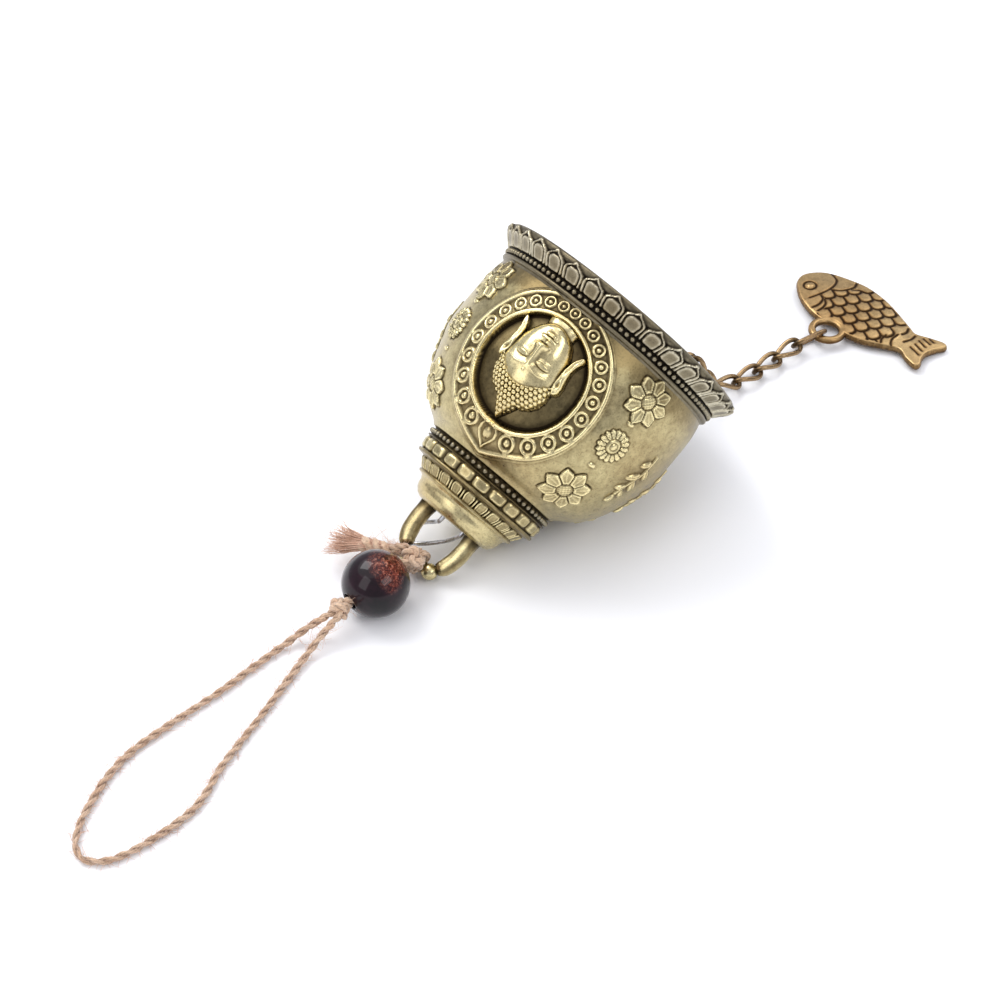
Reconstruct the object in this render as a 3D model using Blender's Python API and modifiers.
"""Small brass temple bell lying on a table: bell, bail, hanger wire, clapper, chain, fish and twine loop.

Units are metres, +Z is up and the table is z = 0. The bell heads along +X, from its crown to its mouth.
The bell frame has its origin in the middle of the mouth, +Z along the axis to the crown and -Y to the
front. The table frame is the world, moved so that its origin is under the middle of the mouth.
"""

import math

import bmesh
import bpy
from mathutils import Matrix, Vector

MM = 0.001
GAP = 0.3 * MM

# How the bell lies: its mouth end is raised and its front is rolled a little to one side.
BELL_TILT = math.radians(31.6)
BELL_ROLL = math.radians(16.2)
MOUTH_HEIGHT = 32.34 * MM
MOUTH_X = -8.21 * MM
MOUTH_Y = 0.0 * MM

# Bell
BELL_SEGMENTS = 40
CROWN_TOP = 47.6 * MM
CROWN_INSIDE = 45.2 * MM
WIRE_HOLE_RADIUS = 0.75 * MM

# Bail
BAIL_DEPTH = 2.6 * MM
BAIL_HALF_WIDTH = 6.55 * MM
BAIL_ARCH_BASE = 50.8 * MM
BAIL_ARCH_RISE = 6.4 * MM
BAIL_OPENING_RADIUS = 3.75 * MM
BAIL_BAR_HEIGHT = 56.6 * MM
BAIL_BAR_RADIUS = 1.0 * MM
BAIL_BALL_RADIUS = 1.35 * MM
BAIL_BALL_X = 2.8 * MM
COLLAR_SIZE = (3.1 * MM, 3.5 * MM, 1.3 * MM)
COLLAR_X = 5.45 * MM
TENON_SIZE = (1.6 * MM, 1.8 * MM, 1.4 * MM)

# Hanger wire
WIRE_RADIUS = 0.4 * MM
WIRE_LEG_X = (-2.9 * MM, 1.7 * MM)
WIRE_EYE_HEIGHT = 33.7 * MM
WIRE_BUTT_HEIGHT = 40.5 * MM

# Chain
CHAIN_WIRE = 0.46 * MM
LINK_LENGTH = 3.15 * MM
LINK_WIDTH = 1.6 * MM
FISH_LINK_LENGTH = 3.5 * MM
FISH_LINK_WIDTH = 1.95 * MM
FISH_LINK_LEAN = math.radians(-55)
LINK_PLAY = 0.1 * MM
LINK_TWIST = math.radians(45)
INNER_ROLL = math.radians(-50)
OUTER_ROLL = math.radians(-14)
LINK_ROUNDNESS = 2.6
LINK_POINTS = 20

# Clapper
CLAPPER_EYE_REACH = 6.1 * MM
EYE_RADIUS = 1.7 * MM
EYE_WIRE = 0.45 * MM
EYE_PLAY = 0.35 * MM
CLAPPER_LEAN = math.radians(27)

# Fish
FISH_THICKNESS = 1.4 * MM
FISH_TILT = math.radians(4)
FISH_RING = Vector((50.7, -3.9, 1.88)) * MM
RING_RADIUS = 2.85 * MM
RING_WIRE = 0.7 * MM

# Twine and bead
TWINE_RADIUS = 0.75 * MM
LOOP_STEP = 4.2 * MM
TAIL_STEP = 2.0 * MM
BEAD_CENTRE = Vector((-59.0, -1.7, 6.0)) * MM
BEAD_RADIUS = 6.0 * MM
BEAD_BORE = 1.9 * MM
BEAD_AXIS = Vector((0.985, -0.03, 0.13)).normalized()
CORE_RADIUS = 1.4 * MM


def clear_scene():
    for item in list(bpy.data.objects):
        bpy.data.objects.remove(item, do_unlink=True)


def new_collection(name, parent):
    group = bpy.data.collections.new(name)
    parent.children.link(group)
    return group


clear_scene()
PARTS = new_collection("temple_bell", bpy.context.scene.collection)
CUTTERS = new_collection("cutters", bpy.context.scene.collection)


# ---------------------------------------------------------------- shared helpers

def millimetres(points):
    return [Vector(point) * MM for point in points]


def smooth(points, steps, closed=False):
    """Catmull-Rom curve through the points, with the given number of steps in each span."""
    count = len(points)
    spans = count if closed else count - 1
    result = []
    for i in range(spans):
        if closed:
            a, b, c, d = (points[(i + k) % count] for k in (-1, 0, 1, 2))
        else:
            a, b, c, d = (points[min(max(i + k, 0), count - 1)] for k in (-1, 0, 1, 2))
        for step in range(steps):
            t = step / steps
            result.append(0.5 * ((2 * b) + (c - a) * t + (2 * a - 5 * b + 4 * c - d) * t * t
                                 + (3 * b - 3 * c + d - a) * t ** 3))
    if not closed:
        result.append(points[-1].copy())
    return result


def even_steps(points, step):
    """The polyline again, with points about one step apart."""
    lengths = [0.0]
    for first, second in zip(points, points[1:]):
        lengths.append(lengths[-1] + (second - first).length)
    count = max(round(lengths[-1] / step), 2)
    result = []
    k = 0
    for i in range(count + 1):
        target = lengths[-1] * i / count
        while k < len(lengths) - 2 and lengths[k + 1] < target:
            k += 1
        span = lengths[k + 1] - lengths[k]
        result.append(points[k].lerp(points[k + 1], (target - lengths[k]) / span))
    return result


def principled(name, colour, roughness, metallic):
    material = bpy.data.materials.new(name)
    material.use_nodes = True
    shader = material.node_tree.nodes["Principled BSDF"]
    shader.inputs["Base Color"].default_value = (*colour, 1.0)
    shader.inputs["Roughness"].default_value = roughness
    shader.inputs["Metallic"].default_value = metallic
    material.diffuse_color = (*colour, 1.0)
    return material


def add_empty(name, matrix, parent=None):
    empty = bpy.data.objects.new(name, None)
    empty.empty_display_size = 0.01
    empty.parent = parent
    empty.matrix_basis = matrix
    PARTS.objects.link(empty)
    return empty


def add_piece(name, data, parent, matrix=None, material=None, group=None):
    piece = bpy.data.objects.new(name, data)
    piece.parent = parent
    piece.matrix_basis = matrix or Matrix.Identity(4)
    (group or PARTS).objects.link(piece)
    if material and not data.materials:
        data.materials.append(material)
    return piece


def as_cutter(piece):
    piece.hide_render = True
    piece.display_type = "WIRE"
    return piece


def turned(name, profile, segments, parent, matrix=None, material=None):
    """A profile of (radius, height) points, turned about +Z with a Screw modifier."""
    mesh = bpy.data.meshes.new(name)
    points = [(radius, 0.0, height) for radius, height in profile]
    mesh.from_pydata(points, [(i, i + 1) for i in range(len(points) - 1)], [])
    piece = add_piece(name, mesh, parent, matrix, material)
    screw = piece.modifiers.new("turn", "SCREW")
    screw.steps = segments
    screw.render_steps = segments
    screw.use_merge_vertices = True
    screw.merge_threshold = 0.000001
    screw.use_smooth_shade = True
    return piece


def curve_data(name, points, radius, cyclic=False):
    curve = bpy.data.curves.new(name, "CURVE")
    curve.dimensions = "3D"
    curve.bevel_depth = radius
    curve.bevel_resolution = 2
    curve.use_fill_caps = not cyclic
    spline = curve.splines.new("POLY")
    spline.points.add(len(points) - 1)
    for target, point in zip(spline.points, points):
        target.co = (*point, 1.0)
    spline.use_cyclic_u = cyclic
    spline.use_smooth = True
    return curve


def outline_data(name, outlines, thickness):
    """Flat plate in the curve's own XY plane, centred on it."""
    curve = bpy.data.curves.new(name, "CURVE")
    curve.dimensions = "2D"
    curve.fill_mode = "BOTH"
    curve.extrude = thickness / 2
    for outline in outlines:
        spline = curve.splines.new("POLY")
        spline.points.add(len(outline) - 1)
        for target, point in zip(spline.points, outline):
            target.co = (point[0], point[1], 0.0, 1.0)
        spline.use_cyclic_u = True
    return curve


def to_mesh(piece):
    """Replace a curve object by the same shape as a welded mesh object."""
    bpy.context.view_layer.update()
    graph = bpy.context.evaluated_depsgraph_get()
    mesh = bpy.data.meshes.new_from_object(piece.evaluated_get(graph))
    shape = bmesh.new()
    shape.from_mesh(mesh)
    bmesh.ops.remove_doubles(shape, verts=shape.verts, dist=0.000001)
    shape.to_mesh(mesh)
    shape.free()
    name, parent, matrix = piece.name, piece.parent, piece.matrix_basis.copy()
    bpy.data.objects.remove(piece)
    solid = add_piece(name, mesh, parent, matrix)
    mesh.name = name
    return solid


def primitive_mesh(name, build):
    shape = bmesh.new()
    build(shape)
    mesh = bpy.data.meshes.new(name)
    shape.to_mesh(mesh)
    shape.free()
    return mesh


def box_mesh(name, size):
    def build(shape):
        bmesh.ops.create_cube(shape, size=1.0)
        bmesh.ops.scale(shape, vec=size, verts=shape.verts)
    return primitive_mesh(name, build)


def cylinder_mesh(name, radius, depth, segments=16):
    def build(shape):
        bmesh.ops.create_cone(shape, cap_ends=True, segments=segments, radius1=radius,
                              radius2=radius, depth=depth)
    return primitive_mesh(name, build)


def ball_mesh(name, radius, segments=16, rings=10):
    def build(shape):
        bmesh.ops.create_uvsphere(shape, u_segments=segments, v_segments=rings, radius=radius)
    return primitive_mesh(name, build)


def ring_points(radius, count):
    angles = [2 * math.pi * i / count for i in range(count)]
    return [Vector((radius * math.cos(a), radius * math.sin(a), 0.0)) for a in angles]


def ring_mesh_piece(name, radius, wire, parent, matrix, group=CUTTERS, count=20):
    curve = curve_data(name, ring_points(radius, count), wire, cyclic=True)
    ring = to_mesh(add_piece(name, curve, parent, matrix))
    PARTS.objects.unlink(ring)
    group.objects.link(ring)
    return ring


def combine(piece, other, operation):
    as_cutter(other)
    boolean = piece.modifiers.new(other.name, "BOOLEAN")
    boolean.operation = operation
    boolean.solver = "EXACT"
    boolean.object = other
    return boolean


def join_piece(piece, name, mesh, matrix):
    other = add_piece(name, mesh, piece.parent, piece.matrix_basis @ matrix, group=CUTTERS)
    return combine(piece, other, "UNION")


def cut_piece(piece, name, mesh, matrix):
    other = add_piece(name, mesh, piece.parent, piece.matrix_basis @ matrix, group=CUTTERS)
    return combine(piece, other, "DIFFERENCE")


def frame_along(direction, origin, up=Vector((0.0, 0.0, 1.0))):
    """Matrix with +X along the direction, +Z as near to up as it can be, at the origin."""
    x = direction.normalized()
    y = up.cross(x).normalized()
    z = x.cross(y)
    matrix = Matrix((x, y, z)).transposed().to_4x4()
    matrix.translation = origin
    return matrix


# ---------------------------------------------------------------- materials and frames

BRASS = principled("antique_brass", (0.42, 0.38, 0.20), 0.35, 1.0)
CHAIN_BRASS = principled("chain_brass", (0.50, 0.36, 0.20), 0.35, 1.0)
FISH_BRASS = principled("fish_brass", (0.55, 0.42, 0.24), 0.38, 1.0)
STEEL = principled("steel_wire", (0.60, 0.60, 0.60), 0.25, 1.0)
CLAPPER_BRASS = principled("clapper_brass", (0.46, 0.40, 0.22), 0.4, 1.0)
GLAZE = principled("dark_glaze", (0.045, 0.018, 0.022), 0.08, 0.0)
JUTE = principled("jute_twine", (0.55, 0.36, 0.22), 0.9, 0.0)

TABLE = add_empty("table_frame", Matrix.Translation((MOUTH_X, MOUTH_Y, 0.0)))
LYING = (Matrix.Translation((0.0, 0.0, MOUTH_HEIGHT))
         @ Matrix.Rotation(-(math.pi / 2 + BELL_TILT), 4, "Y")
         @ Matrix.Rotation(math.pi / 2 - BELL_ROLL, 4, "Z"))
BELL = add_empty("bell_frame", LYING, TABLE)


def below_axis(height, drop, side=0.0):
    """Table-frame point at a height above the lip plane and a drop towards the table."""
    along = Vector((math.cos(BELL_TILT), 0.0, math.sin(BELL_TILT)))
    down = Vector((math.sin(BELL_TILT), 0.0, -math.cos(BELL_TILT)))
    return Vector((0.0, side, MOUTH_HEIGHT)) - height * along + drop * down


# ---------------------------------------------------------------- bell shell

RIM = [(24.7, 0.0), (25.4, 0.8), (24.7, 1.8), (23.8, 2.8), (23.0, 3.8), (23.3, 4.5), (23.0, 5.2),
       (23.0, 5.8)]
BODY = [(22.5, 6.4), (23.0, 9.0), (23.15, 14.0), (22.95, 20.4), (21.8, 24.4), (20.35, 28.4),
        (17.95, 32.4), (15.7, 34.4), (13.4, 36.2)]
NECK = [(13.35, 37.8), (12.95, 38.2), (12.6, 40.6), (12.5, 41.3), (11.4, 41.5), (10.1, 43.6),
        (10.1, 44.0), (9.2, 44.4), (8.95, 45.4), (8.4, 46.4), (7.0, 47.6), (0.0, 47.6)]
INSIDE = [(23.2, 0.0), (22.8, 1.2), (21.4, 3.4), (20.6, 6.4), (21.0, 9.0), (21.2, 14.0),
          (21.0, 20.0), (19.2, 26.0), (15.8, 32.0), (12.0, 35.5), (10.7, 38.0), (9.8, 41.0),
          (7.8, 43.4), (5.5, 45.2), (0.0, 45.2)]


def bell_profile():
    """From the crown's middle down the outside, across the lip and up the inside."""
    body = smooth(millimetres(BODY), 2)
    outside = millimetres(RIM) + body + millimetres(NECK)
    return list(reversed(outside)) + millimetres(INSIDE)


def build_bell_shell():
    shell = turned("bell_shell", bell_profile(), BELL_SEGMENTS, BELL, material=BRASS)
    middle = (CROWN_TOP + CROWN_INSIDE) / 2
    for number, x in enumerate(WIRE_LEG_X, 1):
        hole = cylinder_mesh("wire_hole", WIRE_HOLE_RADIUS, 6 * MM, 12)
        cut_piece(shell, f"wire_hole_{number}", hole, Matrix.Translation((x, 0.0, middle)))
    socket = Vector(TENON_SIZE) + Vector((2 * GAP, 2 * GAP, 4 * GAP))
    for side in (-1, 1):
        place = Matrix.Translation((side * COLLAR_X, 0.0, CROWN_TOP))
        cut_piece(shell, f"tenon_socket_{side}", box_mesh("tenon_socket", socket), place)
    return shell


# ---------------------------------------------------------------- bail

def superellipse(angle, half_x, half_y, power):
    c = math.cos(angle)
    s = math.sin(angle)
    return (math.copysign(abs(c) ** (2 / power), c) * half_x,
            math.copysign(abs(s) ** (2 / power), s) * half_y)


def bail_outline():
    """The arch from its right foot over the top to its left foot, and back inside the opening."""
    foot = CROWN_TOP + GAP
    steps = 18
    outer = [(BAIL_HALF_WIDTH, foot)]
    for i in range(steps + 1):
        x, z = superellipse(math.pi * i / steps, BAIL_HALF_WIDTH, BAIL_ARCH_RISE, 2.4)
        outer.append((x, BAIL_ARCH_BASE + z))
    outer.append((-BAIL_HALF_WIDTH, foot))
    inner = [(-BAIL_OPENING_RADIUS, foot)]
    for i in range(steps + 1):
        angle = math.pi - math.pi * i / steps
        inner.append((BAIL_OPENING_RADIUS * math.cos(angle),
                      BAIL_ARCH_BASE + BAIL_OPENING_RADIUS * math.sin(angle)))
    inner.append((BAIL_OPENING_RADIUS, foot))
    return outer + inner


def build_bail():
    plate = outline_data("hanging_bail", [bail_outline()], BAIL_DEPTH)
    upright = Matrix.Rotation(math.pi / 2, 4, "X")
    bail = to_mesh(add_piece("hanging_bail", plate, BELL, upright, BRASS))
    flat = upright.inverted()
    gap_width = 2 * (BAIL_BALL_X - 0.9 * BAIL_BALL_RADIUS)
    window = box_mesh("apex_gap", (gap_width, 10 * MM, 7 * MM))
    cut_piece(bail, "apex_gap", window, flat @ Matrix.Translation((0.0, 0.0, BAIL_BAR_HEIGHT)))
    turn = Matrix.Rotation(math.pi / 2, 4, "Y")
    bar = cylinder_mesh("apex_bar", BAIL_BAR_RADIUS, 2 * BAIL_BALL_X, 16)
    join_piece(bail, "apex_bar", bar, flat @ Matrix.Translation((0.0, 0.0, BAIL_BAR_HEIGHT)) @ turn)
    for side in (-1, 1):
        place = Matrix.Translation((side * BAIL_BALL_X, 0.0, BAIL_BAR_HEIGHT))
        join_piece(bail, f"bail_ball_{side}", ball_mesh("bail_ball", BAIL_BALL_RADIUS), flat @ place)
        foot = CROWN_TOP + GAP + COLLAR_SIZE[2] / 2
        place = Matrix.Translation((side * COLLAR_X, 0.0, foot))
        join_piece(bail, f"bail_collar_{side}", box_mesh("bail_collar", COLLAR_SIZE), flat @ place)
        place = Matrix.Translation((side * COLLAR_X, 0.0, CROWN_TOP))
        join_piece(bail, f"bail_tenon_{side}", box_mesh("bail_tenon", TENON_SIZE), flat @ place)
    return bail


# ---------------------------------------------------------------- hanger wire

def wire_eye():
    """Half circle at the wire's lower end, from the right leg round to the left one."""
    left, right = WIRE_LEG_X
    radius = (right - left) / 2
    angles = [-math.pi * i / 8 for i in range(9)]
    return [((left + right) / 2 + radius * math.cos(a), 0.0,
             WIRE_EYE_HEIGHT + radius * (1 + math.sin(a))) for a in angles]


def build_hanger_wire():
    """One ring of wire: an eye inside, two legs through the crown and a leaning loop outside."""
    left, right = WIRE_LEG_X
    outside = [
        (left, 0.0, CROWN_TOP + 0.3 * MM),
        (left + 0.7 * MM, 1.0 * MM, CROWN_TOP + 1.5 * MM),
        (left + 2.6 * MM, 2.4 * MM, CROWN_TOP + 3.6 * MM),
        (right + 1.9 * MM, 3.4 * MM, CROWN_TOP + 6.9 * MM),
        (right + 3.5 * MM, 3.6 * MM, CROWN_TOP + 6.4 * MM),
        (right + 4.0 * MM, 3.5 * MM, CROWN_TOP + 4.2 * MM),
        (right + 2.9 * MM, 2.9 * MM, CROWN_TOP + 2.9 * MM),
        (right + 0.9 * MM, 1.5 * MM, CROWN_TOP + 1.4 * MM),
        (right, 0.0, CROWN_TOP + 0.3 * MM),
    ]
    start = (right, 0.0, WIRE_BUTT_HEIGHT - GAP)
    finish = (right, 0.0, WIRE_BUTT_HEIGHT + GAP)
    route = [start] + wire_eye() + [(left, 0.0, CROWN_INSIDE - 1.0 * MM)] + outside + [finish]
    points = even_steps(smooth([Vector(point) for point in route], 6), 1.2 * MM)
    curve = curve_data("hanger_wire", points, WIRE_RADIUS)
    return add_piece("hanger_wire", curve, BELL, material=STEEL)


# ---------------------------------------------------------------- chain

# Heading and slope in degrees of each outer link, from the clapper over the lip, down to the table
# and along it to the fish.
OUTER_LINKS = [(0, 3), (0, -3), (-6, -29), (-10, -61), (-12, -58), (-9, -15), (-4, 0), (1, 0),
               (-3, 7.2)]
FISH_LINK = (-8.5, 0)
INNER_LINKS = 4
LINK_PITCH = 2 * (LINK_LENGTH - CHAIN_WIRE - LINK_PLAY)
FISH_LINK_PITCH = 2 * (FISH_LINK_LENGTH - CHAIN_WIRE - LINK_PLAY)
FISH_KNUCKLE = FISH_RING - Vector((RING_RADIUS - RING_WIRE - 6 * LINK_PLAY, -0.05 * MM, -0.22 * MM))


def outer_knuckles():
    """Middles of the joints from the clapper's lower eye to the fish's ring, worked out backwards."""
    point = FISH_KNUCKLE.copy()
    points = [point]
    runs = [(heading, slope, LINK_PITCH) for heading, slope in OUTER_LINKS]
    for heading, slope, pitch in reversed(runs + [(*FISH_LINK, FISH_LINK_PITCH)]):
        turn = math.radians(heading)
        rise = math.radians(slope)
        direction = Vector((math.cos(rise) * math.cos(turn), math.cos(rise) * math.sin(turn),
                            math.sin(rise)))
        point = point - pitch * direction
        points.append(point)
    return list(reversed(points))


OUTER_KNUCKLES = outer_knuckles()
CLAPPER_BOTTOM = OUTER_KNUCKLES[0]
WIRE_MIDDLE = (WIRE_LEG_X[0] + WIRE_LEG_X[1]) / 2
CLAPPER_REACH = 2 * (CLAPPER_EYE_REACH + EYE_RADIUS - EYE_WIRE - EYE_PLAY)
CLAPPER_TOP = CLAPPER_BOTTOM - CLAPPER_REACH * Vector((math.cos(CLAPPER_LEAN), 0.0,
                                                       math.sin(CLAPPER_LEAN)))
WIRE_BOTTOM = LYING @ Vector((WIRE_MIDDLE, 0.0, WIRE_EYE_HEIGHT))
WIRE_EYE = WIRE_BOTTOM + 1.4 * WIRE_RADIUS * (WIRE_BOTTOM - CLAPPER_TOP).normalized()


def link_points(length, width, twists):
    """Oval ring whose plane turns between the two angles given, from its first end to its last."""
    points = []
    for i in range(LINK_POINTS):
        angle = 2 * math.pi * i / LINK_POINTS
        x, across = superellipse(angle, length, width, LINK_ROUNDNESS)
        twist = twists[0] + (twists[1] - twists[0]) * (x / length + 1) / 2
        points.append(Vector((x, across * math.cos(twist), across * math.sin(twist))))
    return points


def link_name(number):
    return f"chain_link_{number:02d}"


def build_link(name, first, last, curve, roll=0.0):
    place = frame_along(last - first, (first + last) / 2) @ Matrix.Rotation(roll, 4, "X")
    joint = add_empty(name + "_pivot", Matrix.Translation(first), TABLE)
    matrix = Matrix.Translation(-first) @ place
    return add_piece(name, curve, joint, matrix, CHAIN_BRASS)


def build_chain():
    ring = link_points(LINK_LENGTH, LINK_WIDTH, (-LINK_TWIST, LINK_TWIST))
    curve = curve_data("chain_link", ring, CHAIN_WIRE, cyclic=True)
    inner = [WIRE_EYE.lerp(CLAPPER_TOP, i / INNER_LINKS) for i in range(INNER_LINKS + 1)]
    outer = OUTER_KNUCKLES[:-1]
    runs = list(zip(inner, inner[1:])) + list(zip(outer, outer[1:]))
    for number, (first, last) in enumerate(runs, 1):
        roll = INNER_ROLL if number <= INNER_LINKS else OUTER_ROLL
        build_link(link_name(number), first, last, curve, roll)
    ring = link_points(FISH_LINK_LENGTH, FISH_LINK_WIDTH, (FISH_LINK_LEAN, FISH_LINK_LEAN))
    longer = curve_data("fish_link", ring, CHAIN_WIRE, cyclic=True)
    build_link("fish_link", OUTER_KNUCKLES[-2], OUTER_KNUCKLES[-1], longer)


# ---------------------------------------------------------------- clapper

CLAPPER_PROFILE = [(0.0, 5.6), (0.9, 5.5), (1.5, 4.9), (1.7, 4.2), (2.5, 3.0), (3.4, 1.2), (3.9, -0.8),
                   (4.0, -1.9), (3.7, -3.2), (2.9, -4.3), (1.8, -5.0), (1.2, -5.4), (0.0, -5.6)]


def build_clapper():
    axis = CLAPPER_TOP - CLAPPER_BOTTOM
    joint = add_empty("clapper_pivot", Matrix.Translation(CLAPPER_TOP), TABLE)
    middle = (CLAPPER_TOP + CLAPPER_BOTTOM) / 2
    place = frame_along(axis, middle) @ Matrix.Rotation(math.pi / 2, 4, "Y")
    matrix = Matrix.Translation(-CLAPPER_TOP) @ place
    clapper = turned("clapper", millimetres(CLAPPER_PROFILE), 20, joint, matrix, CLAPPER_BRASS)
    planes = {-1: OUTER_ROLL - LINK_TWIST, 1: INNER_ROLL + LINK_TWIST}
    for side in (-1, 1):
        stand = Matrix.Translation((0.0, 0.0, side * CLAPPER_EYE_REACH))
        turn = Matrix.Rotation(math.pi - planes[side], 4, "Z") @ Matrix.Rotation(math.pi / 2, 4, "X")
        eye = ring_mesh_piece(f"clapper_eye_{side}", EYE_RADIUS, EYE_WIRE, joint,
                              matrix @ stand @ turn, count=16)
        combine(clapper, eye, "UNION")
    return clapper


# ---------------------------------------------------------------- fish

# Body outline in millimetres in the table frame, from the nose along the back to the tail and
# back along the belly.
FISH_OUTLINE = [(54.8, 8.2), (56.8, 10.2), (59.1, 10.8), (61.6, 9.8), (63.6, 7.8), (65.2, 4.2),
                (66.3, 0.2), (66.2, -4.4), (65.2, -8.8), (63.7, -13.6), (63.2, -15.5),
                (64.4, -18.0), (65.5, -20.8), (64.7, -22.0), (62.6, -21.3), (60.4, -20.9),
                (58.5, -21.4), (56.9, -22.4), (55.8, -21.8), (56.1, -19.2), (57.0, -16.5),
                (55.2, -13.6), (53.4, -10.8), (52.3, -7.6), (51.8, -3.2), (51.9, 1.4), (53.0, 5.2)]


def build_fish():
    joint = add_empty("fish_pivot", Matrix.Translation(OUTER_KNUCKLES[-1]), TABLE)
    local = Matrix.Translation(FISH_RING - OUTER_KNUCKLES[-1]) @ Matrix.Rotation(FISH_TILT, 4, "Y")
    centre = FISH_RING.to_2d()
    outline = [Vector(point) * MM - centre for point in FISH_OUTLINE]
    plate = outline_data("fish_pendant", [smooth(outline, 2, closed=True)], FISH_THICKNESS)
    fish = to_mesh(add_piece("fish_pendant", plate, joint, local, FISH_BRASS))
    hole = cylinder_mesh("fish_ring_hole", RING_RADIUS, 6 * MM, 24)
    cut_piece(fish, "fish_ring_hole", hole, Matrix.Identity(4))
    ring = ring_mesh_piece("fish_ring", RING_RADIUS, RING_WIRE, joint, local, count=24)
    combine(fish, ring, "UNION")
    return fish


# ---------------------------------------------------------------- bead and twine

# Route of the loop in millimetres in the table frame, from one side of the knot round to the other.
LOOP_ROUTE = [(-69.5, -0.7, 4.2), (-72.6, 0.5, 2.6), (-76.5, 1.1, 1.2), (-82.9, 0.9, 0.8),
              (-92.0, 0.1, 0.8), (-102.5, -0.2, 0.8), (-111.0, -0.8, 0.8), (-117.0, -2.6, 0.8),
              (-121.8, -5.0, 0.8), (-126.0, -7.6, 0.8), (-129.2, -10.8, 0.8), (-129.8, -14.2, 0.8),
              (-127.0, -16.8, 0.8), (-122.6, -17.8, 0.8), (-116.8, -18.0, 0.8), (-111.0, -17.5, 0.8),
              (-106.4, -15.8, 0.8), (-101.8, -13.3, 0.8), (-95.0, -10.7, 0.8), (-87.7, -7.9, 0.8),
              (-81.5, -5.4, 0.8), (-76.0, -3.4, 1.2), (-72.4, -2.7, 2.6), (-69.4, -2.5, 4.0)]
TAIL_ROUTE = [(-51.6, 1.8, 5.9), (-52.4, 3.4, 6.1), (-53.2, 5.6, 5.9), (-54.6, 8.0, 5.4),
              (-56.0, 10.6, 4.9), (-57.2, 13.4, 4.5)]
BAR_CENTRE = below_axis(BAIL_BAR_HEIGHT, 0.0)
WRAP_INNER = BAIL_BAR_RADIUS + 0.25 * MM
WRAP_OUTER = 2.58 * MM
WRAP_HALF_WIDTH = 1.1 * MM
BAIL_KNOT_SIZE = Vector((2.0, 2.3, 2.0)) * MM
BEAD_KNOT_SIZE = Vector((1.9, 2.3, 2.0)) * MM


def soft_knot(name, centre, size, direction, parent):
    mesh = ball_mesh(name, 1.0, 14, 10)
    mesh.transform(Matrix.Diagonal((*size, 1.0)))
    return add_piece(name, mesh, parent, frame_along(direction, centre), JUTE)


def build_bead(joint, to_joint):
    place = frame_along(BEAD_AXIS, BEAD_CENTRE) @ Matrix.Rotation(math.pi / 2, 4, "Y")
    bead = add_piece("bead", ball_mesh("bead", BEAD_RADIUS, 28, 18), joint, to_joint @ place, GLAZE)
    cut_piece(bead, "bead_bore", cylinder_mesh("bead_bore", BEAD_BORE, 16 * MM, 20), Matrix.Identity(4))
    return bead


def build_twine():
    """Everything that swings with the loop round the bar of the bail."""
    joint = add_empty("loop_pivot", Matrix.Translation(BAR_CENTRE), TABLE)
    to_joint = Matrix.Translation(-BAR_CENTRE)
    bar = LYING.to_3x3() @ Vector((1.0, 0.0, 0.0))
    profile = [(WRAP_OUTER - 0.4 * MM, WRAP_HALF_WIDTH), (WRAP_OUTER, WRAP_HALF_WIDTH - 0.4 * MM),
               (WRAP_OUTER, 0.4 * MM - WRAP_HALF_WIDTH), (WRAP_OUTER - 0.4 * MM, -WRAP_HALF_WIDTH),
               (WRAP_INNER, -WRAP_HALF_WIDTH), (WRAP_INNER, WRAP_HALF_WIDTH),
               (WRAP_OUTER - 0.4 * MM, WRAP_HALF_WIDTH)]
    turn = frame_along(bar, BAR_CENTRE) @ Matrix.Rotation(math.pi / 2, 4, "Y")
    turned("twine_wrap", profile, 20, joint, to_joint @ turn, JUTE)
    right_exit = BEAD_CENTRE + BEAD_AXIS * (BEAD_RADIUS + 2.25 * MM)
    left_exit = BEAD_CENTRE - BEAD_AXIS * (BEAD_RADIUS + 1.9 * MM)
    soft_knot("bail_knot", to_joint @ right_exit, BAIL_KNOT_SIZE, BEAD_AXIS, joint)
    soft_knot("bead_knot", to_joint @ left_exit, BEAD_KNOT_SIZE, BEAD_AXIS, joint)
    first = left_exit + BEAD_AXIS * (BEAD_KNOT_SIZE.x + GAP)
    last = right_exit - BEAD_AXIS * (BAIL_KNOT_SIZE.x + GAP)
    core = [to_joint @ first.lerp(last, i / 4) for i in range(5)]
    add_piece("twine_core", curve_data("twine_core", core, CORE_RADIUS), joint, material=JUTE)
    for name, route, step in (("twine_loop", LOOP_ROUTE, LOOP_STEP), ("twine_tail", TAIL_ROUTE, TAIL_STEP)):
        points = even_steps(smooth(millimetres(route), 8), step)
        placed = [to_joint @ point for point in points]
        add_piece(name, curve_data(name, placed, TWINE_RADIUS), joint, material=JUTE)
    build_bead(joint, to_joint)


build_bell_shell()
build_bail()
build_hanger_wire()
build_chain()
build_clapper()
build_fish()
build_twine()
